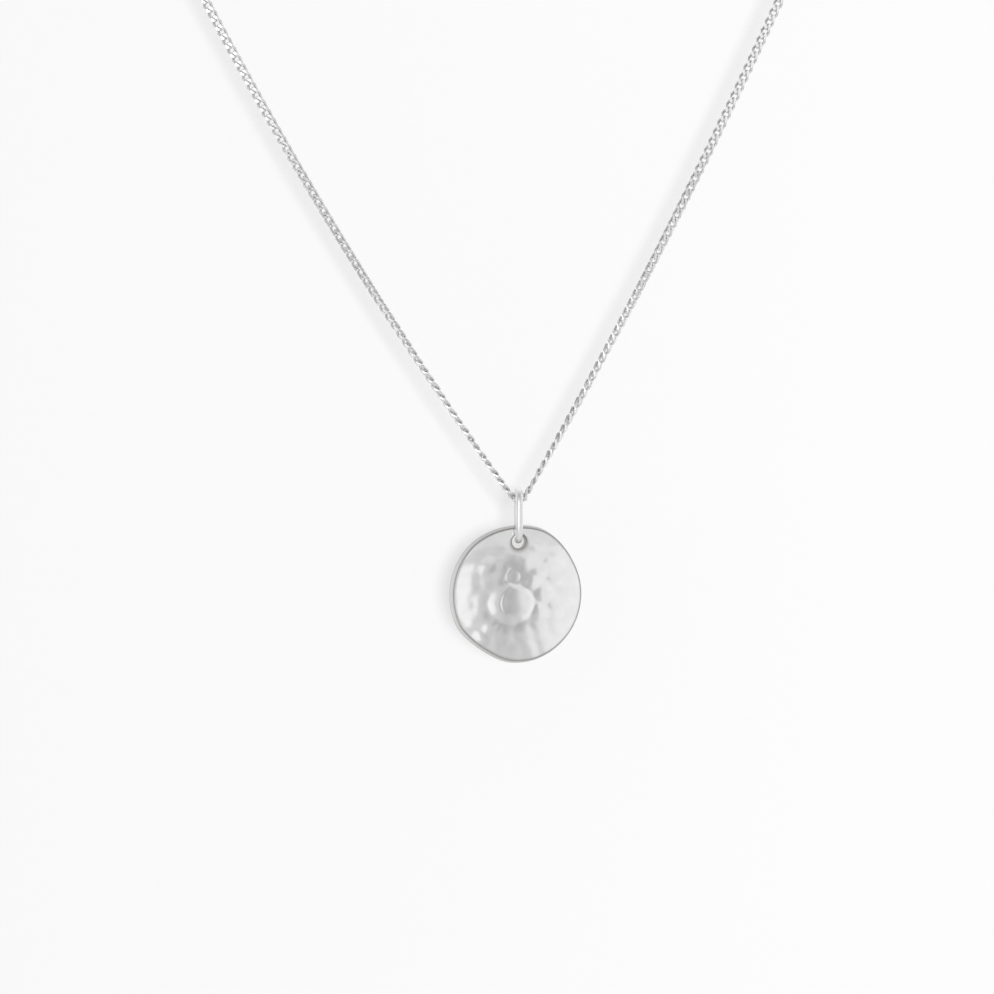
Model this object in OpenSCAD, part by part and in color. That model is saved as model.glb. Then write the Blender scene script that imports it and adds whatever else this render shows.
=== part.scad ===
// Hammered moon pendant on a fine curb chain, hanging as it is worn.
// Millimetres. +Z is up and the pendant's front faces -Y. The origin is the top of the
// chain's loop, at the clasp, where the necklace lies on the nape or hangs from a peg.

/* [Moon disc] */
// Thickness of the silver sheet
disc_t = 1.2; // [0.8:0.1:1.3]
// Radius of the hollow that the disc is dished to
dish_r = 30; // [24:1:60]
// Radius of the hole for the jump ring
hole_r = 0.8; // [0.8:0.05:0.9]
// Height of the hole above the disc's middle
hole_up = 5.75; // [5.6:0.05:5.9]
// Turn of the disc about the vertical, its face to the right
disc_yaw = 14; // [4:1:20]
// Depth of the hammer marks, as a multiple of the charted depth
mark_depth = 1; // [0.5:0.1:1.2]

/* [Jump ring] */
// Thickness of the ring's wire
ring_wire = 0.8; // [0.6:0.05:0.8]
// Outer height of the oval ring
ring_h = 6.15; // [6:0.05:7]
// Outer depth of the oval ring, from front to back
ring_depth = 4.2; // [4:0.1:4.8]
// Turn of the ring about the vertical
ring_yaw = 4; // [0:1:8]

/* [Chain] */
// Width across the curb links
chain_w = 1; // [0.8:0.1:1.1]
// Left strand's lean from the vertical where it leaves the ring, in degrees
lean_left = 35; // [33:0.5:37]
// Right strand's lean from the vertical where it leaves the ring, in degrees
lean_right = 29.7; // [28:0.1:32]
// Sag of the strands: the chain's sideways pull over its weight per millimetre
sag_len = 137; // [120:1:200]
// Length of the left strand that hangs free, below the round of the loop
left_free = 114; // [100:1:124]

/* [Clasp] */
// Outer diameter of the clasp's ring
clasp_d = 5.6; // [5:0.1:6.5]
// Thickness of the clasp's ring
clasp_wire = 1; // [0.8:0.05:1.1]
// Outer diameter of the clasp's fixed eye
eye_d = 2.4; // [2.3:0.1:2.8]
// Thickness of the eye's wire
eye_wire = 0.6; // [0.5:0.05:0.6]

/* [Hidden] */

// Small gap kept between pieces that hang on each other
gap = 0.08;
// The wire's middle stands this far above the hole's middle
hang_gap = 0.16;
// Fineness of the large round faces and of the small ones
$fn = 96;
dish_fn = 180;

// The disc's uneven outline is where these round cuts overlap: direction of the cut from
// the disc's middle in degrees, radius of the cut's arc, and reach from the middle.
OUTLINE = [
    [0, 8, 7.24],
    [25, 11, 7.28],
    [102, 9, 7.5],
    [150, 8.2, 7.66],
    [190, 8, 7.7],
    [238, 14, 7.32],
    [275, 8.2, 7.5],
    [318, 8.6, 7.34],
    [345, 8, 7.25]
];

// Hammer marks on the hollow face, charted from the middle: across to the right, up,
// radius of the mark's edge, and depth.
MARKS = [
    [-0.05, -1.0, 1.75, 0.17],
    [-0.45, 2.0, 1.0, 0.08],
    [-2.4, -0.9, 1.3, 0.11],
    [-2.2, 1.2, 1.25, 0.08],
    [1.2, 1.1, 1.0, 0.07],
    [3.2, 0.1, 1.35, 0.1],
    [2.1, 2.3, 1.4, 0.09],
    [0.8, 3.9, 1.2, 0.07],
    [-1.4, 4.2, 1.4, 0.09],
    [-3.6, 3.0, 1.3, 0.11],
    [-4.3, 1.0, 1.35, 0.09],
    [-4.6, -1.4, 1.3, 0.1],
    [-3.9, -3.5, 1.3, 0.12],
    [-2.0, -3.2, 1.2, 0.09],
    [0.2, -3.4, 1.3, 0.09],
    [2.2, -2.0, 1.2, 0.1],
    [4.3, -2.0, 1.3, 0.1],
    [5.3, 0.1, 1.3, 0.09],
    [4.5, 2.2, 1.3, 0.08],
    [3.1, 4.2, 1.3, 0.1],
    [1.9, -4.1, 1.3, 0.08],
    [-0.8, -5.1, 1.3, 0.09],
    [0.9, -6.1, 1.25, 0.08],
    [3.1, -5.3, 1.3, 0.08],
    [4.0, -3.9, 1.2, 0.07],
    [-2.7, -5.3, 1.3, 0.11],
    [-4.6, -5.0, 1.15, 0.1],
    [-5.7, -3.0, 1.3, 0.1],
    [-6.2, -0.4, 1.35, 0.11],
    [-5.9, 2.4, 1.3, 0.1],
    [-4.9, 4.5, 1.25, 0.1],
    [-3.0, 5.6, 1.3, 0.08],
    [2.2, 6.0, 1.2, 0.08],
    [4.6, 5.0, 1.2, 0.09],
    [5.8, 3.3, 1.2, 0.08],
    [6.3, -1.3, 1.2, 0.09],
    [5.9, -3.2, 1.2, 0.09]
];

// Inverse of the hyperbolic sine
function asinh(v) = ln(v + sqrt(v * v + 1));
// Slope and lean of a strand that starts at one slope, after a length of it
function slope_at(start, run) = start + run / sag_len;
function lean_at(start, run) = atan(1 / slope_at(start, run));
// Way across and up along a strand, a stretch of a catenary, after a length of it
function across_at(start, run) = sag_len * (asinh(slope_at(start, run)) - asinh(start));
function up_at(start, run) =
    sag_len * (sqrt(1 + pow(slope_at(start, run), 2)) - sqrt(1 + start * start));

// The bend round the ring's wire, and the point where the two strands' lines would cross
bend_r = (chain_w + ring_wire) / 2 + gap;
half_angle = (lean_left + lean_right) / 2;
bend_tilt = (lean_left - lean_right) / 2;
bend_tangent = bend_r / tan(half_angle);
bend_mid = bend_r / sin(half_angle) * [-sin(bend_tilt), cos(bend_tilt)];
start_left = bend_tangent * [-sin(lean_left), cos(lean_left)];
start_right = bend_tangent * [sin(lean_right), cos(lean_right)];

// Where each strand ends, and the round that takes both of them up and over
slope_left = 1 / tan(lean_left);
slope_right = 1 / tan(lean_right);
function end_left(run) =
    start_left + [-across_at(slope_left, run), up_at(slope_left, run)];
function end_right(run) =
    start_right + [across_at(slope_right, run), up_at(slope_right, run)];
function round_r(run) =
    (end_right(run)[0] - end_left(left_free)[0])
    / (cos(lean_at(slope_left, left_free)) + cos(lean_at(slope_right, run)));
function miss(run) =
    end_right(run)[1] + round_r(run) * sin(lean_at(slope_right, run))
    - end_left(left_free)[1] - round_r(run) * sin(lean_at(slope_left, left_free));
// The right strand's free length, halving the range until the two sides meet
function meet(low, high, tries) =
    tries == 0 ? (low + high) / 2
    : miss((low + high) / 2) > 0 ? meet(low, (low + high) / 2, tries - 1)
    : meet((low + high) / 2, high, tries - 1);
right_free = meet(left_free / 2, left_free * 2, 40);
neck_r = round_r(right_free);
top_lean_left = lean_at(slope_left, left_free);
top_lean_right = lean_at(slope_right, right_free);
round_mid = end_left(left_free)
    + neck_r * [cos(top_lean_left), sin(top_lean_left)];

// From the crossing point of the strands' lines to the origin at the loop's top
crossing = [-round_mid[0], -round_mid[1] - neck_r];
// Middle of the ring's wire where it rests in the bend, its lower end, and the disc
ring_top = crossing + bend_mid;
ring_end_r = (ring_depth - ring_wire) / 2;
ring_foot = ring_top - [0, ring_h - ring_wire];
disc_mid = ring_foot - [0, hang_gap + hole_up];

// The clasp lies along the top of the round: the origin is in the left side of its ring's
// wire, and its eye is to the left of that
clasp_mid = (clasp_d - clasp_wire) / 2;
eye_mid = clasp_mid - (clasp_d - clasp_wire + eye_d) / 2;
clasp_half_right = asin((clasp_mid + clasp_d / 2 + gap) / neck_r);
clasp_half_left = asin((eye_d / 2 - eye_mid + gap) / neck_r);

// Steps of the chain's path in each stretch
round_steps = 18;
strand_steps = 12;
bend_steps = 10;
chain_sides = 10;

// The chain's path in the plane of the loop, as [across, up, direction of its normal]
function round_points(from, to) = [
    for (i = [0 : round_steps])
        let (a = from + (to - from) * i / round_steps)
            [neck_r * cos(a), neck_r * (sin(a) - 1), a]
];
function strand_points(side, start, slope, free) = [
    for (i = [0 : strand_steps])
        let (run = free * i / strand_steps, lean = lean_at(slope, run))
            [crossing[0] + start[0] + side * across_at(slope, run),
             crossing[1] + start[1] + up_at(slope, run),
             side > 0 ? -lean : 180 + lean]
];
function bend_points() = [
    for (i = [1 : bend_steps - 1])
        let (from = 180 + lean_left, to = 360 - lean_right,
             a = from + (to - from) * i / bend_steps)
            [crossing[0] + bend_mid[0] + bend_r * cos(a),
             crossing[1] + bend_mid[1] + bend_r * sin(a), a]
];
function rest(list) = [for (i = [1 : len(list) - 1]) list[i]];
function reversed(list) = [for (i = [len(list) - 1 : -1 : 0]) list[i]];
PATH = concat(
    round_points(90 + clasp_half_left, 180 + top_lean_left),
    rest(reversed(strand_points(-1, start_left, slope_left, left_free))),
    bend_points(),
    strand_points(1, start_right, slope_right, right_free),
    rest(round_points(-top_lean_right, 90 - clasp_half_right))
);

// A tube swept along a path in the XZ plane
module tube(path, radius, sides) {
    points = [
        for (p = path, i = [0 : sides - 1])
            let (a = 360 * i / sides, out = radius * cos(a))
                [p[0] + out * cos(p[2]), radius * sin(a), p[1] + out * sin(p[2])]
    ];
    last = (len(path) - 1) * sides;
    faces = concat(
        [for (k = [0 : len(path) - 2], i = [0 : sides - 1])
            let (j = (i + 1) % sides, a = k * sides, b = a + sides)
                [a + i, b + i, b + j, a + j]],
        [[for (i = [0 : sides - 1]) i]],
        [[for (i = [sides - 1 : -1 : 0]) last + i]]
    );
    polyhedron(points, faces);
}

// A closed wire ring round the Y axis
module wire_ring(outer_d, wire) {
    rotate([90, 0, 0])
        rotate_extrude() translate([(outer_d - wire) / 2, 0]) circle(d = wire);
}

// Half of a ring that stands in the YZ plane, open side down
module half_ring(mid_r, wire) {
    rotate([90, 0, 90])
        rotate_extrude(angle = 180) translate([mid_r, 0]) circle(d = wire);
}

// Axis of the dish runs along Y, and its hollow face is at y = 0 in the middle
function hollow_y(across, up) =
    sqrt(dish_r * dish_r - across * across - up * up) - dish_r;

// Moves what is at the origin to a place on a round about the dish's centre, turned so
// that its Y axis stays square to the sheet
module on_dish(across, up, reach) {
    tip = asin(up / reach);
    turn = asin(across / (reach * cos(tip)));
    translate([0, -dish_r, 0]) rotate([tip, 0, -turn]) translate([0, reach, 0]) children();
}

module outline_cut(cut) {
    across = cos(cut[0]);
    up = sin(cut[0]);
    on_dish(cut[2] * across, cut[2] * up, dish_r + disc_t)
        translate([-cut[1] * across, 0, -cut[1] * up])
        rotate([90, 0, 0]) cylinder(r = cut[1], h = 20, center = true);
}

// The round end of a hammer, only as long as it has to be
module hammer_mark(mark) {
    depth = mark[3] * mark_depth;
    ball_r = 0.5 / (depth / (mark[2] * mark[2]) + 0.5 / dish_r);
    on_dish(mark[0], mark[1], dish_r) intersection() {
        translate([0, depth - ball_r, 0]) sphere(r = ball_r);
        rotate([90, 0, 0]) cylinder(r = mark[2] + 0.25, h = 1.2, center = true);
    }
}

module dished_blank() {
    intersection() {
        translate([0, -dish_r, 0]) difference() {
            sphere(r = dish_r + disc_t, $fn = dish_fn);
            sphere(r = dish_r, $fn = dish_fn);
        }
        intersection_for (cut = OUTLINE) outline_cut(cut);
    }
}

// Silver sheet cut out, dished, hammered on its hollow face and drilled near the rim
module moon_disc() {
    hole_mid_y = hollow_y(0, hole_up + hole_r) + disc_t / 2;
    color("silver")
        translate([ring_foot[0], 0, disc_mid[1]])
        rotate([0, 0, disc_yaw])
        translate([0, -hole_mid_y, 0])
        difference() {
            dished_blank();
            for (mark = MARKS) hammer_mark(mark);
            translate([0, 0, hole_up])
                rotate([90, 0, 0]) cylinder(r = hole_r, h = 6 * disc_t, center = true);
        }
}

// Oval ring of round wire, soldered shut, through the disc's hole and round the chain
module jump_ring() {
    color("silver")
        translate([ring_top[0], 0, ring_top[1]]) rotate([0, 0, ring_yaw]) {
            translate([0, 0, -ring_end_r]) half_ring(ring_end_r, ring_wire);
            translate([0, 0, ring_end_r - ring_h + ring_wire])
                rotate([180, 0, 0]) half_ring(ring_end_r, ring_wire);
            for (side = [-1, 1])
                translate([0, side * ring_end_r, ring_end_r - ring_h + ring_wire])
                    cylinder(d = ring_wire, h = ring_h - ring_wire - 2 * ring_end_r);
        }
}

// The fine curb chain, drawn as a tube as wide as its links
module chain() {
    color("lightgray") tube(PATH, chain_w / 2, chain_sides);
}

// Bolt ring clasp with its fixed eye and thumb knob, plain and in one piece
module clasp() {
    color("silver") {
        translate([clasp_mid, 0, 0]) {
            wire_ring(clasp_d, clasp_wire);
            rotate([0, -55, 0]) translate([clasp_d / 2 - clasp_wire / 2, 0, 0])
                rotate([0, 90, 0]) cylinder(d = 0.7 * clasp_wire, h = 1.5 * clasp_wire);
        }
        translate([eye_mid, 0, 0]) wire_ring(eye_d, eye_wire);
    }
}

moon_disc();
jump_ring();
chain();
clasp();
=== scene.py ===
"""Looks of the moon pendant: a hammered silver disc on an oval jump ring and a curb chain.

Everything is in the CAD's own frame: +Z is up, the moon's hollow face looks along -Y, and
the origin is the top of the chain's loop. The sections below follow the way the necklace is
put together, from the studio it hangs in to the disc at its lower end.
"""
import math

import bmesh
import bpy
import numpy as np
from mathutils import Matrix, Vector


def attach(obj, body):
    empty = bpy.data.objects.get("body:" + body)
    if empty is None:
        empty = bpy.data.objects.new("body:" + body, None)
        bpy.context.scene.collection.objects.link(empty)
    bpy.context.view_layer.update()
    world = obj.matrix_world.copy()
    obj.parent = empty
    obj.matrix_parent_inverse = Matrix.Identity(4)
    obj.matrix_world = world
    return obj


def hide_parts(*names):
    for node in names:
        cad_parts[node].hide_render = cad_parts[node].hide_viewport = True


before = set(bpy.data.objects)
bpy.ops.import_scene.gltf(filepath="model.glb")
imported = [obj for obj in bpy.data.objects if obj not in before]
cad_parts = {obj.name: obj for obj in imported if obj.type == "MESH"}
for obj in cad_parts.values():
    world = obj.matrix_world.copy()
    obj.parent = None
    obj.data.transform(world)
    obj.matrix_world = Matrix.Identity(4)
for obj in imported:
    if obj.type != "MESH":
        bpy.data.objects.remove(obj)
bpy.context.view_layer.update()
MM = 0.001

# Camera: a long lens, level and square to the backdrop. It stands 30 cm in front of the
# necklace, a little left of the pendant.
camera = bpy.data.objects.new("camera", bpy.data.cameras.new("camera"))
camera.data.lens = 100
camera.location = Vector((1.76, -300, -179.07)) * MM
camera.rotation_euler = (math.radians(90), 0, 0)
bpy.context.collection.objects.link(camera)
bpy.context.scene.camera = camera
bpy.context.scene.view_settings.view_transform = "Standard"


# Studio: a white backdrop 2 cm behind the necklace and a pale floor far below it, both of
# matt card. They show from their front only, so the necklace is seen from behind as well.
class Wire:
    """An output of a shader node. Its sums and products are Math nodes."""

    def __init__(self, finish, socket):
        self.finish, self.socket = finish, socket

    def _math(self, operation, *values):
        return self.finish.node(
            "Math", {"operation": operation}, dict(enumerate(values))
        )

    def __add__(self, other):
        return self._math("ADD", self, other)

    def __mul__(self, other):
        return self._math("MULTIPLY", self, other)

    __radd__, __rmul__ = __add__, __mul__


class Finish:
    """A surface finish: a new material, and the one method that adds its nodes."""

    def __init__(self, name):
        self.material = bpy.data.materials.new(name)
        self.material.use_nodes = True
        self.material.node_tree.nodes.clear()

    def node(self, kind, settings=None, sockets=None, out=0):
        made = self.material.node_tree.nodes.new("ShaderNode" + kind)
        for name, value in (settings or {}).items():
            if name == "stops":
                ramp = made.color_ramp.elements
                while len(ramp) < len(value):
                    ramp.new(0.5)
                for element, (position, grey) in zip(ramp, value):
                    element.position, element.color = position, (grey, grey, grey, 1)
            else:
                setattr(made, name, value)
        for name, value in (sockets or {}).items():
            if isinstance(value, Wire):
                self.material.node_tree.links.new(value.socket, made.inputs[name])
            else:
                made.inputs[name].default_value = value
        return Wire(self, made.outputs[out]) if made.outputs else made

    def surface(self, shader):
        self.node("OutputMaterial", sockets={"Surface": shader})
        return self.material


def stage_card(name, size, place, material):
    """A flat card of the studio."""
    card = bmesh.new()
    bmesh.ops.create_grid(card, x_segments=1, y_segments=1, size=0.5)
    bmesh.ops.scale(card, vec=(size[0], size[1], 1), verts=card.verts)
    bmesh.ops.transform(card, matrix=place, verts=card.verts)
    mesh = bpy.data.meshes.new(name)
    card.to_mesh(mesh)
    card.free()
    mesh.materials.append(material)
    made = bpy.data.objects.new(name, mesh)
    bpy.context.collection.objects.link(made)
    return made


def one_sided(finish, shader):
    """The finish of a card that shows from its front only."""
    return finish.surface(
        finish.node(
            "MixShader",
            sockets={
                0: finish.node("NewGeometry", out="Backfacing"),
                1: shader,
                2: finish.node("BsdfTransparent"),
            },
        )
    )


def matt_white(name, glow):
    """Matt white card with a faint grain, lit a little from behind, more so at its right."""
    card = Finish(name)
    grain = card.node("TexNoise", sockets={"Scale": 900.0, "Detail": 3.0})
    across = card.node("TexCoord", out="Object")
    across = card.node("SeparateXYZ", sockets={"Vector": across}, out="X")
    light = card.node(
        "ValToRGB", {"stops": [(0.4, 0.922), (0.6, 1.077)]}, {"Fac": across + 0.5}
    )
    return one_sided(
        card,
        card.node(
            "BsdfPrincipled",
            sockets={
                "Base Color": (0.4, 0.4, 0.4, 1),
                "Roughness": 1.0,
                "Specular IOR Level": 0.0,
                "Emission Color": light,
                "Emission Strength": glow,
                "Normal": card.node("Bump", sockets={"Strength": 0.04, "Height": grain}),
            },
        ),
    )


BACKDROP_Y, BACKDROP_SIZE = 20 * MM, 4
FLOOR_Z, FLOOR_DEPTH = -1.2, 2.4
upright = Matrix.Rotation(math.pi / 2, 4, "X")
stage_card(
    "backdrop", (BACKDROP_SIZE, BACKDROP_SIZE),
    Matrix.Translation((0, BACKDROP_Y, FLOOR_Z + BACKDROP_SIZE / 2)) @ upright,
    matt_white("white backdrop", 0.395),
)
stage_card(
    "floor", (BACKDROP_SIZE, FLOOR_DEPTH),
    Matrix.Translation((0, BACKDROP_Y - FLOOR_DEPTH / 2, FLOOR_Z)),
    matt_white("pale floor", 0.35),
)

# Light: a pale room with a dim ceiling, a soft box beside the lens at the left and a window
# in a grey wall at the right. Eight cards in a ring, the lowest one the brightest, show in
# the disc's rim, and a soft key throws the faint shadows to the left.
room = bpy.data.worlds.new("pale room")
room.use_nodes = True
room.node_tree.nodes["Background"].inputs["Color"].default_value = (0.9, 0.9, 0.9, 1)
bpy.context.scene.world = room
PENDANT = Vector((4, 0, -187)) * MM


def facing(azimuths, heights, distance):
    """Size and place of a card that faces the pendant between two azimuths and elevations."""
    turn, lift = sum(azimuths) / 2, sum(heights) / 2
    place = (
        Matrix.Rotation(math.radians(turn), 4, "Z")
        @ Matrix.Rotation(math.radians(90 - lift), 4, "X")
        @ Matrix.Translation((0, 0, distance))
    )
    size = [
        2 * distance * math.tan(math.radians(high - low) / 2)
        for low, high in (azimuths, heights)
    ]
    return size, place


def glowing_card(name, size, place, *glow):
    """A card that shows in the silver alone, placed from the pendant.

    Its glow is one grey, or several greys, each with its place across the studio in metres.
    """
    light = Finish(name)
    if len(glow) == 1:
        colour = (glow[0], glow[0], glow[0], 1)
    else:
        spot = light.node("TexCoord", out="Object")
        spot = light.node("SeparateXYZ", sockets={"Vector": spot}, out="X")
        colour = light.node("ValToRGB", {"stops": glow}, {"Fac": spot})
    light.surface(light.node("Emission", sockets={"Color": colour}))
    card = stage_card(name, size, Matrix.Translation(PENDANT) @ place, light.material)
    card.visible_camera = card.visible_diffuse = card.visible_shadow = False


glowing_card("window", *facing((47.5, 62), (-13, 15), 0.8), 1.0)
glowing_card(
    "grey_wall", *facing((23.5, 72), (-20, 50), 0.9),
    (0.39, 0.6), (0.45, 0.54), (0.49, 0.46), (0.54, 0.47), (0.59, 0.62), (0.85, 0.68),
)
glowing_card(
    "upper_wall", *facing((23.5, 72), (9, 50), 0.85),
    (0.39, 0.66), (0.45, 0.6), (0.5, 0.58), (0.56, 0.64), (0.85, 0.7),
)
glowing_card("pale_wall", *facing((0, 23.5), (-22, 50), 0.95), (0.08, 0.92), (0.38, 0.84))
glowing_card("soft_box", *facing((-35, -12), (-30, 30), 0.9), 2.0)
glowing_card("dim_wall", *facing((-92, -36), (-30, 40), 0.95), 0.55)
glowing_card("ceiling", (2.4, 1.2), Matrix.Translation((0, -0.6, 1.05)), 0.35)
# the glow of each card round the rim, clockwise from the one above
RIM_GLOWS = (0.25, 0.3, 0.35, 0.6, 0.75, 0.6, 0.35, 0.28)
for number, glow in enumerate(RIM_GLOWS):
    round_rim = Matrix.Rotation(math.tau * number / len(RIM_GLOWS), 4, "Y")
    place = round_rim @ Matrix.Translation((0, -0.1, 1.0))
    glowing_card(f"edge_{number}", (0.9, 0.2), place, glow)

# degrees that the key stands above the lens and to the right of it
KEY_ABOVE, KEY_RIGHT = 0.8, 3.2
key = bpy.data.objects.new("key", bpy.data.lights.new("key", "SUN"))
key.data.energy = 1.8
key.data.angle = math.radians(6.5)
key.rotation_euler = (math.radians(90 - KEY_ABOVE), 0, math.radians(KEY_RIGHT))
key.visible_camera = key.visible_glossy = False
bpy.context.collection.objects.link(key)

# Curb chain: some 400 links of round silver wire, each twisted so that the chain lies
# flat, closed and soldered. It hangs in two catenaries from the round of the neck and
# bends under the jump ring, and a plain ring on each end joins it to the clasp.
LINK_WIRE = 0.34
LINK_LENGTH, LINK_WIDTH, LINK_PITCH = 1.98, 1.14, 1.11
LINK_THICKNESS = 0.62
LINK_STEPS, LINK_SIDES = 12, 6
# the bend under the jump ring: its middle (across, up), radius, and links' joints each side
BEND_MID = Vector((4.064, -178.372))
BEND_R, BEND_JOINTS = 0.98, 4
# the catenaries' measure, and the radius of the round of the neck
SAG, NECK_R = 137, 56.37
# each strand: its lean from upright where it leaves the bend, and its free length
STRANDS = {-1: (math.radians(35), 114), 1: (math.radians(29.7), 112.758)}
# how far each strand bows outwards at its middle
BOW = {-1: 0.6, 1: 0.2}
END_WIRE, END_STEPS, END_SIDES = 0.3, 20, 8
# where each end ring sits: its middle, its radius, and the way to the last joint of links
END_RINGS = {-1: (-2.42, 0.8, 223.9), 1: (4.82, 0.9, 217.63)}
# the jump ring's wire and the middle radius of its bends, which the links keep clear of
RING_WIRE, RING_BEND = 0.8, 1.7
# how far from the lowest link the links are settled, in how many rounds, and their least gap
SETTLED, ROUNDS, CLEAR = 14, 200, 0.02
# how readily a pressed link turns, and the share of its push that a round makes good
TURNING, YIELD = 2.5, 0.6


def link_line(turn):
    """Middle line of a link's wire (along, across, through) at an angle round the link."""
    half = (LINK_WIDTH - LINK_WIRE) / 2
    straight = (LINK_LENGTH - LINK_WIDTH) / 2
    # the ends are half rounds, and the wires between them run straight and cross over
    end = max(-1, min(1, 4 * math.cos(turn)))
    along = half * math.cos(turn) + straight * end
    twist = -math.radians(90) / LINK_PITCH * along
    across = half * math.sin(turn)
    return Vector((along, across * math.cos(twist), across * math.sin(twist)))


def wire_loop(radius, wire, steps, sides):
    """A closed ring of round wire in the XY plane, as a bmesh."""
    ring = bmesh.new()
    section = Matrix.Translation((radius, 0, 0)) @ upright
    bmesh.ops.create_circle(ring, segments=sides, radius=wire / 2, matrix=section)
    bmesh.ops.spin(
        ring, geom=ring.verts[:] + ring.edges[:], cent=(0, 0, 0), axis=(0, 0, 1),
        angle=2 * math.pi, steps=steps, use_merge=True,
    )
    bmesh.ops.recalc_face_normals(ring, faces=ring.faces)
    return ring


def curb_link():
    """One twisted link as a mesh, with its length along X and its faces filed flat."""
    link = wire_loop(1, LINK_WIRE, LINK_STEPS, LINK_SIDES)
    for vert in link.verts:
        turn = math.atan2(vert.co.y, vert.co.x)
        outward, rise = math.hypot(vert.co.x, vert.co.y) - 1, vert.co.z
        middle = link_line(turn)
        run = (link_line(turn + 0.01) - link_line(turn - 0.01)).normalized()
        side = 1 if math.sin(turn) > 0 else -1
        twist = math.atan2(side * middle.z, side * middle.y)
        out = Vector((0, math.cos(twist), math.sin(twist))) * math.sin(turn)
        out.x = math.cos(turn)
        out = (out - out.dot(run) * run).normalized()
        vert.co = middle + outward * out + rise * run.cross(out)
    for face in (-1, 1):
        bmesh.ops.bisect_plane(
            link, geom=link.verts[:] + link.edges[:] + link.faces[:], clear_outer=True,
            plane_co=(0, 0, face * LINK_THICKNESS / 2), plane_no=(0, 0, face),
        )
        bmesh.ops.holes_fill(link, edges=[edge for edge in link.edges if edge.is_boundary])
    bmesh.ops.recalc_face_normals(link, faces=link.faces)
    # painted shade: each link is darker the farther a point lies from its filed faces, for the
    # shade that the neighbouring links throw on its side wires
    tarnish = link.verts.layers.float.new("tarnish")
    for vert in link.verts:
        vert[tarnish] = 1 - (2 * vert.co.z / LINK_THICKNESS) ** 2
    mesh = bpy.data.meshes.new("curb_link")
    link.to_mesh(mesh)
    link.free()
    return mesh


def chain_point(way):
    """Middle line of the chain (across, up), so far along it from its lowest point."""
    side = 1 if way > 0 else -1
    way = abs(way)
    lean, free = STRANDS[side]
    bend = BEND_R * (math.pi / 2 - lean)
    if way < bend:
        turn = way / BEND_R
        return BEND_MID + BEND_R * Vector((side * math.sin(turn), -math.cos(turn)))
    slope = 1 / math.tan(lean)
    steep = slope + min(way - bend, free) / SAG
    if way > bend + free:
        turn = (way - bend - free) / NECK_R - math.atan(1 / steep)
        return NECK_R * Vector((side * math.cos(turn), math.sin(turn) - 1))
    start = BEND_MID + BEND_R * Vector((side * math.cos(lean), -math.sin(lean)))
    across = SAG * (math.asinh(steep) - math.asinh(slope))
    across += BOW[side] * math.sin(math.pi * (way - bend) / free)
    return start + Vector((side * across, SAG * (math.hypot(1, steep) - math.hypot(1, slope))))


def joints(side):
    """Where the links of one side meet, as ways along the chain from its lowest point.

    The joints in the bend are one pitch apart in a straight line, the others along the chain.
    """
    ways = [BEND_R * math.asin(LINK_PITCH / 2 / BEND_R)]
    while len(ways) < BEND_JOINTS:
        low, high = ways[-1], ways[-1] + 2 * LINK_PITCH
        here = chain_point(side * low)
        while high - low > 1e-6:
            middle = (low + high) / 2
            if (chain_point(side * middle) - here).length < LINK_PITCH:
                low = middle
            else:
                high = middle
        ways.append(low)
    rest = END_RINGS[side][2] - ways[-1]
    count = round(rest / LINK_PITCH)
    return ways + [ways[-1] + rest * i / count for i in range(1, count + 1)]


def roll(number):
    """How far a link is turned from lying flat, by its number from the lowest link.

    The chain lies nearly flat at the neck and edge on at the jump ring, and its last links
    turn to pass through the end rings.
    """
    numbers = (-200, -180, -52, -38, -24, -12, 0, 8, 24, 42, 180, 200)
    turns = (-30, 14, 14, 22, 46, 78, 90, 66, 42, 2, -2, 30)
    return math.radians(np.interp(number, numbers, turns))


def link_places():
    """The place of each link, from the left end to the right end, and the lowest one."""
    left, right = joints(-1), joints(1)
    ways = [-way for way in reversed(left)] + right
    points = [chain_point(way) for way in ways]
    lowest = len(left) - 1
    places = []
    for number, (start, end) in enumerate(zip(points, points[1:])):
        run, mid = (end - start).normalized(), (start + end) / 2
        turn = roll(number - lowest)
        along = Vector((run.x, 0, run.y))
        across = math.cos(turn) * Vector((run.y, 0, -run.x)) + math.sin(turn) * Vector((0, 1, 0))
        place = Matrix((along, across, along.cross(across))).transposed().to_4x4()
        place.translation = (mid.x, 0, mid.y)
        places.append(place)
    return places, lowest


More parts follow.
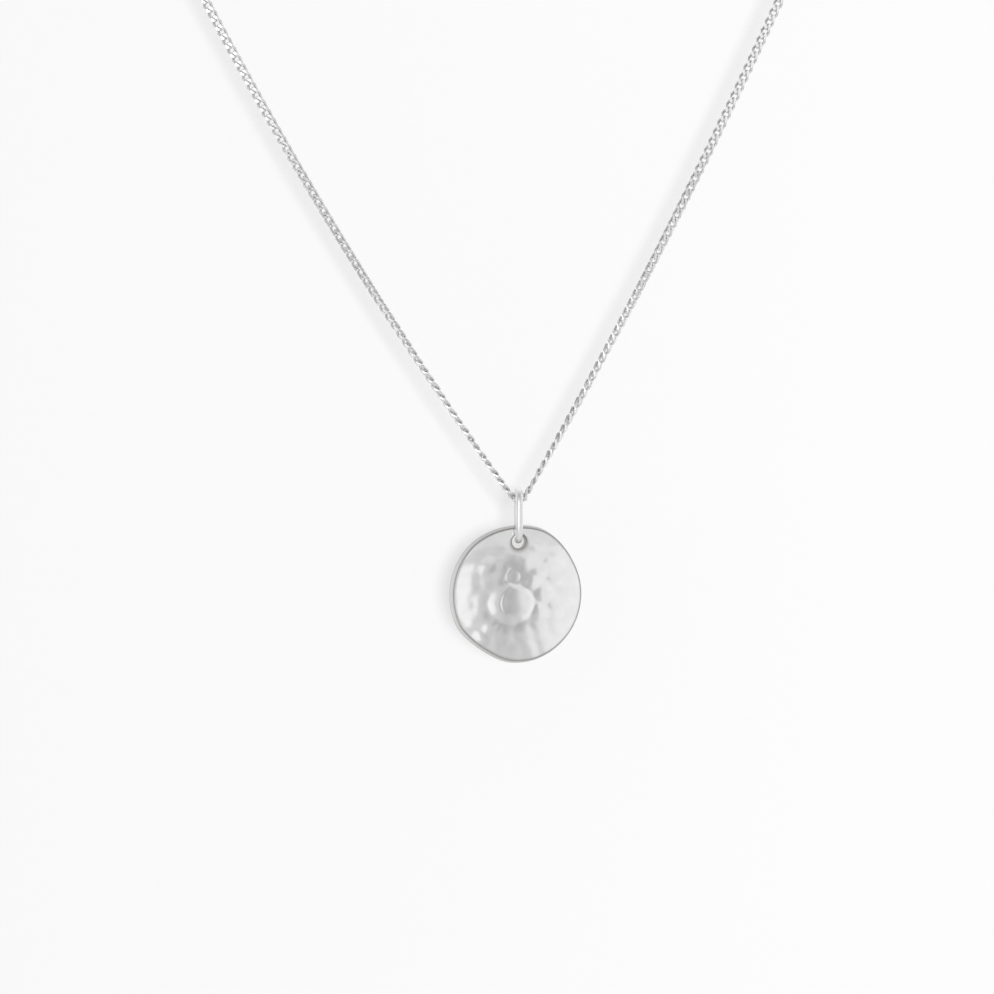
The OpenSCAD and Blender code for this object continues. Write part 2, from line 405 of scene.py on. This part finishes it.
def settle(places, lowest):
    """Nudges the links in the bend until none presses on the next or on the ring's wire.

    In each round every pressed link shifts and turns by the least squares of its pushes.
    """
    corners = np.array([link_line(i * math.tau / LINK_STEPS) for i in range(LINK_STEPS)])
    line = np.vstack([corners + (np.roll(corners, 1, 0) - corners) * i / 4 for i in range(4)])
    lean = np.radians(np.linspace(-70, 70, 57))
    ring = np.c_[
        np.full(len(lean), BEND_MID.x),
        RING_BEND * np.sin(lean),
        BEND_MID.y - RING_BEND + RING_BEND * np.cos(lean),
    ]
    moving = range(lowest - SETTLED, lowest + SETTLED + 1)
    for _ in range(ROUNDS):
        wires = {
            i: line @ np.array(places[i].to_3x3()).T + np.array(places[i].translation)
            for i in range(moving.start - 2, moving.stop + 2)
        }
        pressed = False
        for i in moving:
            others = [(wires[j], LINK_WIRE + CLEAR) for j in (i - 2, i - 1, i + 1, i + 2)]
            others.append((ring, (LINK_WIRE + RING_WIRE) / 2 + CLEAR))
            arms, pushes = [], []
            for other, reach in others:
                gap = wires[i][:, None] - other[None]
                far = np.linalg.norm(gap, axis=2)
                for row in np.where(far.min(1) < reach)[0]:
                    k = far[row].argmin()
                    arms.append(wires[i][row] - np.array(places[i].translation))
                    pushes.append(gap[row, k] / far[row, k] * (reach - far[row, k]))
            if not arms:
                continue
            pressed = True
            rows = []
            for x, y, z in arms:
                rows += [
                    [1, 0, 0, 0, TURNING * z, -TURNING * y],
                    [0, 1, 0, -TURNING * z, 0, TURNING * x],
                    [0, 0, 1, TURNING * y, -TURNING * x, 0],
                ]
            wanted = np.array(pushes).ravel()
            move = np.linalg.lstsq(np.array(rows), wanted, rcond=0.1)[0] * YIELD
            turn = Vector(move[3:] * TURNING)
            spot = places[i].translation + Vector(move[:3])
            places[i] = Matrix.Rotation(turn.length, 4, turn) @ places[i]
            places[i].translation = spot
        if not pressed:
            break


def shown(name, made, material, body, slot, *nodes):
    """Puts a finished bmesh in millimetres into the scene, on its body, for its nodes.

    Filed and cut faces are single faces of many corners, and these alone stay flat.
    """
    bmesh.ops.scale(made, vec=(MM, MM, MM), verts=made.verts)
    for face in made.faces:
        face.smooth = len(face.verts) < 5
    mesh = bpy.data.meshes.new(name)
    made.to_mesh(mesh)
    made.free()
    mesh.materials.append(material)
    piece = bpy.data.objects.new(name, mesh)
    bpy.context.collection.objects.link(piece)
    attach(piece, body)
    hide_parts(*nodes)


def wire_silver(name, satin):
    """Silver of drawn wire, darkened where the mesh carries painted shade, and rougher the more
    satin it is.
    """
    silver = Finish(name)
    spot = silver.node("TexCoord", out="Object")
    wear = silver.node("TexNoise", sockets={"Vector": spot, "Scale": 1400.0, "Detail": 4.0})
    bright = silver.node("ValToRGB", {"stops": [(0.3, 0.86), (0.6, 0.95)]}, {"Fac": wear})
    # painted shade from the mesh's attribute pulls the base colour towards dark grey
    tarnish = silver.node("Attribute", {"attribute_name": "tarnish"}, out="Fac")
    drawn = silver.node("Mapping", sockets={"Vector": spot, "Scale": (9000.0, 9000.0, 1500.0)})
    scratch = silver.node("TexNoise", sockets={"Vector": drawn, "Scale": 1.0, "Detail": 2.0})
    return silver.surface(
        silver.node(
            "BsdfPrincipled",
            sockets={
                "Base Color": silver.node(
                    "Mix", {"data_type": "RGBA"},
                    {"Factor": 0.24 * tarnish, "A": bright, "B": (0.2, 0.19, 0.18, 1)}, "Result",
                ),
                "Metallic": 1.0,
                "Roughness": satin + 0.1 * wear,
                "Normal": silver.node(
                    "Bump", sockets={"Strength": 0.06, "Distance": 0.00002, "Height": scratch}
                ),
            },
        )
    )


polished_silver = wire_silver("polished silver", 0.23)

chain = bmesh.new()
curb = curb_link()
places, lowest = link_places()
settle(places, lowest)
for place in places:
    made = len(chain.verts)
    chain.from_mesh(curb)
    bmesh.ops.transform(chain, matrix=place, verts=chain.verts[made:])
for middle, radius, _ in END_RINGS.values():
    ring = wire_loop(radius, END_WIRE, END_STEPS, END_SIDES)
    lean = math.atan(-middle / NECK_R)
    below_top = Matrix.Translation((middle, 0, -middle * middle / 2 / NECK_R))
    place = below_top @ Matrix.Rotation(-lean, 4, "Y")
    bmesh.ops.transform(ring, matrix=place, verts=ring.verts)
    end_ring = bpy.data.meshes.new("end_ring")
    ring.to_mesh(end_ring)
    ring.free()
    chain.from_mesh(end_ring)
shown("curb_chain", chain, polished_silver, "necklace", "polished_silver", "chain")

# Bolt ring clasp: a hollow ring of silver tube with a sprung tongue of thinner wire, which
# shows in the ring's mouth and is drawn back by its thumb knob, and a small fixed eye
# soldered on. The tongue's wire is drawn as a whole ring, inside the tube but for the mouth.
CLASP_R, CLASP_WIRE, CLASP_MID = 2.3, 1.0, 2.3
TONGUE_WIRE = 0.7
EYE_R, EYE_WIRE, EYE_MID = 0.9, 0.6, -1.2
MOUTH = math.radians(62)
KNOB_R, KNOB_LENGTH, KNOB_AT = 0.35, 1.5, math.radians(55)
clasp = wire_loop(CLASP_R, TONGUE_WIRE, 72, 20)
tube = bmesh.new()
bmesh.ops.create_circle(
    tube, segments=24, radius=CLASP_WIRE / 2, cap_ends=False,
    matrix=Matrix.Translation((CLASP_R, 0, 0)) @ upright,
)
bmesh.ops.rotate(tube, cent=(0, 0, 0), matrix=Matrix.Rotation(MOUTH, 3, "Z"), verts=tube.verts)
bmesh.ops.spin(
    tube, geom=tube.verts[:] + tube.edges[:], cent=(0, 0, 0), axis=(0, 0, 1),
    angle=math.tau - MOUTH, steps=64,
)
bmesh.ops.holes_fill(tube, edges=[edge for edge in tube.edges if edge.is_boundary])
rims = [edge for edge in tube.edges if any(len(face.verts) > 4 for face in edge.link_faces)]
bmesh.ops.bevel(
    tube, geom=rims, offset=0.1, segments=3, affect="EDGES", profile=0.5, material=-1
)
bmesh.ops.recalc_face_normals(tube, faces=tube.faces)
part = bpy.data.meshes.new("part")
tube.to_mesh(part)
tube.free()
clasp.from_mesh(part)
knob = bmesh.new()
bmesh.ops.create_cone(
    knob, cap_ends=True, segments=24, radius1=KNOB_R, radius2=KNOB_R, depth=KNOB_LENGTH,
    matrix=Matrix.Translation((0, 0, KNOB_LENGTH / 2)),
)
top = [edge for edge in knob.edges if min(vert.co.z for vert in edge.verts) > KNOB_LENGTH / 2]
bmesh.ops.bevel(
    knob, geom=top, offset=0.16, segments=4, affect="EDGES", profile=0.5, material=-1
)
along_x = Matrix.Rotation(math.pi / 2, 4, "Y")
knob_turn = Matrix.Rotation(KNOB_AT, 4, "Z")
bmesh.ops.transform(
    knob, matrix=knob_turn @ Matrix.Translation((CLASP_R, 0, 0)) @ along_x, verts=knob.verts
)
knob.to_mesh(part)
knob.free()
clasp.from_mesh(part)
bmesh.ops.translate(clasp, vec=(CLASP_MID, 0, 0), verts=clasp.verts)
eye = wire_loop(EYE_R, EYE_WIRE, 48, 16)
bmesh.ops.translate(eye, vec=(EYE_MID, 0, 0), verts=eye.verts)
eye.to_mesh(part)
eye.free()
clasp.from_mesh(part)
bmesh.ops.transform(clasp, matrix=upright, verts=clasp.verts)
shown("bolt_ring_clasp", clasp, polished_silver, "necklace", "polished_silver", "clasp")

# Jump ring: an oval of round silver wire, soldered shut and a little less polished than
# the links, which the chain passes through at its top and the moon hangs on at its foot.
RING_HEIGHT, RING_YAW = 6.15, math.radians(4)
drop = RING_HEIGHT - RING_WIRE - 2 * RING_BEND
oval = bmesh.new()
for foot, way in ((0, 1), (-drop, -1)):
    bend = bmesh.new()
    bmesh.ops.create_circle(
        bend, segments=28, radius=RING_WIRE / 2, matrix=Matrix.Translation((0, RING_BEND, 0))
    )
    bmesh.ops.spin(
        bend, geom=bend.verts[:] + bend.edges[:], cent=(0, 0, 0), axis=(1, 0, 0),
        angle=way * math.pi, steps=40,
    )
    bmesh.ops.translate(bend, vec=(0, 0, foot), verts=bend.verts)
    bend.to_mesh(part)
    bend.free()
    oval.from_mesh(part)
open_ends = [edge for edge in oval.edges if edge.is_boundary]
for side in (-1, 1):
    ends = [edge for edge in open_ends if edge.verts[0].co.y * side > 0]
    bmesh.ops.bridge_loops(oval, edges=ends)
bmesh.ops.recalc_face_normals(oval, faces=oval.faces)
bmesh.ops.transform(
    oval,
    matrix=Matrix.Translation((BEND_MID.x, 0, BEND_MID.y - RING_BEND))
    @ Matrix.Rotation(RING_YAW, 4, "Z"),
    verts=oval.verts,
)
satin_silver = wire_silver("satin silver", 0.38)
shown("oval_jump_ring", oval, satin_silver, "ring", "polished_silver", "jump_ring")

# Full moon: a round cut from silver sheet, dished, hammered on its hollow face with a
# round-ended hammer, its edge left uneven and rubbed smooth, and drilled near the edge.
SHEET, DISH_R = 1.2, 30
HOLE_R, HOLE_UP = 0.8, 5.75
MOON_YAW = math.radians(14)
MOON_MID = Vector((4.064, 0, -189.632))
EDGE_ROUND, HOLE_ROUND = 0.15, 0.08
# the low lip along the edge of the hollow face: its height and width
LIP, LIP_WIDTH = 0.02, 0.25
# direction of each round cut of the edge, its radius, and its reach from the middle
CUTS = [
    (0, 8, 7.24), (25, 11, 7.28), (102, 9, 7.5), (150, 8.2, 7.66), (190, 8, 7.7),
    (238, 14, 7.32), (275, 8.2, 7.5), (318, 8.6, 7.34), (345, 8, 7.25),
]
# hammer marks: across, up, radius and depth; the large one is the hollow of the big crater
MARKS = [
    (-1.3, -0.96, 2.35, 0.2), (-3.5, 3.1, 1.2, 0.11), (-3.1, -3.5, 1.1, 0.10),
    (-2.2, 1.5, 1.0, 0.07), (-1.9, 3.2, 1.1, 0.07), (-0.7, 4.1, 1.1, 0.05),
    (-3.5, 1.2, 1.1, 0.07), (-4.2, -0.8, 1.1, 0.07), (-4.3, -2.4, 1.2, 0.08),
    (-5.4, 1.2, 1.3, 0.06), (-5.9, -0.8, 1.2, 0.05), (-5.3, -2.9, 1.2, 0.08),
    (-5.0, 3.3, 1.2, 0.06), (-4.2, -4.9, 1.1, 0.10), (-2.4, -5.2, 1.2, 0.09),
    (-1.5, -4.5, 1.3, 0.09), (-0.6, -6.2, 1.2, 0.07), (0.7, -4.3, 1.2, 0.08),
    (1.1, -6.0, 1.2, 0.08), (1.7, 1.3, 1.0, 0.08), (0.9, 3.4, 1.1, 0.05),
    (3.0, 0.2, 1.2, 0.10), (2.5, 2.4, 1.0, 0.07), (3.8, 3.6, 1.2, 0.09),
    (2.5, -1.9, 1.0, 0.10), (4.3, -1.4, 1.2, 0.10), (5.3, 0.3, 1.2, 0.08),
    (4.1, 1.6, 1.0, 0.09), (5.9, 2.3, 1.1, 0.06), (2.4, -3.8, 1.2, 0.08),
    (4.4, -3.5, 1.3, 0.09), (3.0, -5.6, 1.2, 0.07), (5.9, -2.2, 1.0, 0.06),
    (2.3, 5.2, 1.2, 0.05), (-2.4, 5.3, 1.2, 0.05), (4.3, 5.2, 1.1, 0.06),
    (-4.6, 4.7, 1.1, 0.06),
]
# craters, struck into the hammered ground by round punches: across, up, radius, depth
# of the bowl and how far it is sunk as a whole
CRATERS = [(-0.06, -1.0, 1.75, 0.03, 0.09), (-0.46, 1.97, 0.75, 0.015, 0.01)]
# how sharply two cuts, two marks, and a crater and its ground meet
CUT_KEENNESS, MARK_KEENNESS, CRATER_KEENNESS = 14, 32, 12
# the share of the hammering that a punch flattens, and the low ridge round it: its height
# for the punch's radius, and its width
FLATTENED, RIDGE, RIDGE_WIDTH = 0.8, 0.0035, 0.14
# the share of each dent that shows on the back
THROUGH = 0.15


def edge_reach(turn):
    """The sheet's reach from its middle on the hollow side, in each direction."""
    total = 0
    for heading, radius, reach in CUTS:
        back = radius - reach
        apart = np.cos(turn - math.radians(heading))
        cut = np.sqrt(radius**2 - back**2 * (1 - apart**2)) - back * apart
        total = total + np.exp(-CUT_KEENNESS * cut)
    return -np.log(total) / CUT_KEENNESS * DISH_R / (DISH_R + SHEET)


def hammered(across, up):
    """Depth of the hammering below the smooth hollow, with marks that are not quite round.

    The two limits, of 3 and 50, only keep far points from underflow and overflow.
    """
    uneven = 0.07 * np.sin(2.3 * up + 0.8 * across) + 0.03 * np.sin(4.1 * up - 1.7 * across)
    bumpy = 0.07 * np.sin(2.1 * across - 0.9 * up) + 0.03 * np.sin(3.7 * across + 2.3 * up)
    total = 1
    for mid_across, mid_up, radius, depth in MARKS:
        way = (across + uneven - mid_across) ** 2 + (up + bumpy - mid_up) ** 2
        total = total + np.exp(MARK_KEENNESS * depth * (1 - np.minimum(way / radius**2, 3)))
    deep = np.log(total) / MARK_KEENNESS
    for mid_across, mid_up, radius, depth, sunk in CRATERS:
        way = np.hypot(across - mid_across, up - mid_up) - radius
        inside = 1 / (1 + np.exp(np.minimum(way * CRATER_KEENNESS, 50)))
        bowl = depth * (1 - (way / radius + 1) ** 2)
        ridge = RIDGE * radius * np.exp(-((way / RIDGE_WIDTH) ** 2))
        deep = deep + inside * (sunk + bowl - FLATTENED * deep) - ridge
    return deep


# the section through the sheet, spun: one unit wide, from the hole to the edge
AT_HOLE, AT_EDGE = 2, 3
moon = bmesh.new()
bmesh.ops.create_grid(moon, x_segments=1, y_segments=1, size=0.5, matrix=upright)
bmesh.ops.delete(moon, geom=moon.faces[:], context="FACES_ONLY")
for vert in moon.verts:
    outer = vert.co.x > 0
    vert.co.x = AT_EDGE + EDGE_ROUND if outer else AT_HOLE - HOLE_ROUND
    vert.co.z = SHEET if vert.co.z > 0 else 0
for outer, size in ((True, EDGE_ROUND), (False, HOLE_ROUND)):
    corners = [vert for vert in moon.verts if (vert.co.x > (AT_HOLE + AT_EDGE) / 2) == outer]
    bmesh.ops.bevel(
        moon, geom=corners, offset=size, segments=5, affect="VERTICES", profile=0.5, material=-1
    )
# cuts across the hollow face, the back, the edge's wall and the hole's wall
for flat, side, cuts in (
    (True, 0, 99), (True, SHEET, 39), (False, AT_EDGE, 6), (False, AT_HOLE, 5)
):
    long = [edge for edge in moon.edges if edge.calc_length() > 0.4]
    picked = []
    for edge in long:
        middle = (edge.verts[0].co + edge.verts[1].co) / 2
        if flat and abs(middle.z - side) < 0.01:
            picked.append(edge)
        if not flat and abs(middle.x - side) < 0.3 and 0.3 < middle.z < SHEET - 0.3:
            picked.append(edge)
    bmesh.ops.subdivide_edges(moon, edges=picked, cuts=cuts)
bmesh.ops.spin(
    moon, geom=moon.verts[:] + moon.edges[:], cent=(0, 0, 0), axis=(0, 0, 1),
    angle=math.tau, steps=420, use_merge=True,
)

# each point goes to its place between the hole and the edge, and as deep as it is
spun = np.array([vert.co for vert in moon.verts])
turn = np.arctan2(spun[:, 1], spun[:, 0])
way = np.hypot(spun[:, 0], spun[:, 1]) - AT_HOLE
share = np.clip(way, 0, 1)
reach = (
    (1 - share) * (HOLE_R + HOLE_ROUND) + share * (edge_reach(turn) - EDGE_ROUND) + way - share
)
across = reach * np.cos(turn)
up = reach * np.sin(turn) + (1 - share) * HOLE_UP
through = spun[:, 2] / SHEET
rim = edge_reach(turn) - reach
lip = LIP * np.exp(-((rim / LIP_WIDTH) ** 2)) * (share > 0.8)
dent = hammered(across, up)
deep = spun[:, 2] + (dent - lip) * (1 - through) + THROUGH * dent * through
spread = 1 + share * deep / DISH_R
across, up = across * spread, up * spread
back = np.sqrt((DISH_R + deep) ** 2 - across**2 - up**2) - DISH_R
hole_y = math.sqrt(DISH_R**2 - (HOLE_UP + HOLE_R) ** 2) - DISH_R + SHEET / 2
# painted shade and painted reflection: the wall of the hole and the rim are darkened, as wide as
# this on the faces beside them;
# at the left the middle of the rim is painted lighter, while dark lines stay along its front and
# back corners
HOLE_SHADE_WIDTH, RIM_SHADE_WIDTH = 0.22, 0.13
in_hole = np.exp(-((np.maximum(reach - HOLE_R, 0) / HOLE_SHADE_WIDTH) ** 2)) * (share < 0.5)
on_rim = np.exp(-((np.maximum(rim, 0) / RIM_SHADE_WIDTH) ** 2)) * (share > 0.5)
toward_left = np.clip(-np.cos(turn), 0, 1) ** 2
front_line = (0.2 + 0.35 * toward_left) * np.exp(-((through / 0.2) ** 2))
back_line = 0.3 * toward_left * through**6
on_rim *= 0.75 - 0.4 * toward_left + front_line + back_line
dark = np.maximum(0.95 * in_hole, on_rim)
# the painted shade goes onto the mesh as an attribute
tarnish = moon.verts.layers.float.new("tarnish")
moon.verts.ensure_lookup_table()
for vert, spot, tone in zip(moon.verts, np.c_[across, back - hole_y, up], dark):
    vert.co = spot
    vert[tarnish] = tone
# the points have moved, and by its old normals the disc would come out inside out
moon.normal_update()
bmesh.ops.recalc_face_normals(moon, faces=moon.faces)
bmesh.ops.transform(
    moon,
    matrix=Matrix.Translation(MOON_MID) @ Matrix.Rotation(MOON_YAW, 4, "Z"),
    verts=moon.verts,
)

hammer = Finish("hammered silver")
spot = hammer.node("TexCoord", out="Object")
cloud = hammer.node("TexNoise", sockets={"Vector": spot, "Scale": 900.0, "Detail": 5.0})
bright = hammer.node("ValToRGB", {"stops": [(0.3, 0.86), (0.65, 0.92)]}, {"Fac": cloud})
pits = hammer.node("TexNoise", sockets={"Vector": spot, "Scale": 6000.0, "Detail": 3.0})
# painted shade from the mesh's attribute darkens the base colour, and roughens it too
tarnish = hammer.node("Attribute", {"attribute_name": "tarnish"}, out="Fac")
hammered_silver = hammer.surface(
    hammer.node(
        "BsdfPrincipled",
        sockets={
            "Base Color": hammer.node(
                "Mix", {"data_type": "RGBA"},
                {"Factor": tarnish, "A": bright, "B": (0.3, 0.29, 0.28, 1)}, "Result",
            ),
            "Metallic": 1.0,
            "Roughness": 0.12 + 0.06 * cloud + 0.2 * tarnish,
            "Normal": hammer.node(
                "Bump", sockets={"Strength": 0.03, "Distance": 0.00003, "Height": pits}
            ),
        },
    )
)
shown("hammered_moon", moon, hammered_silver, "moon", "hammered_silver", "moon_disc")
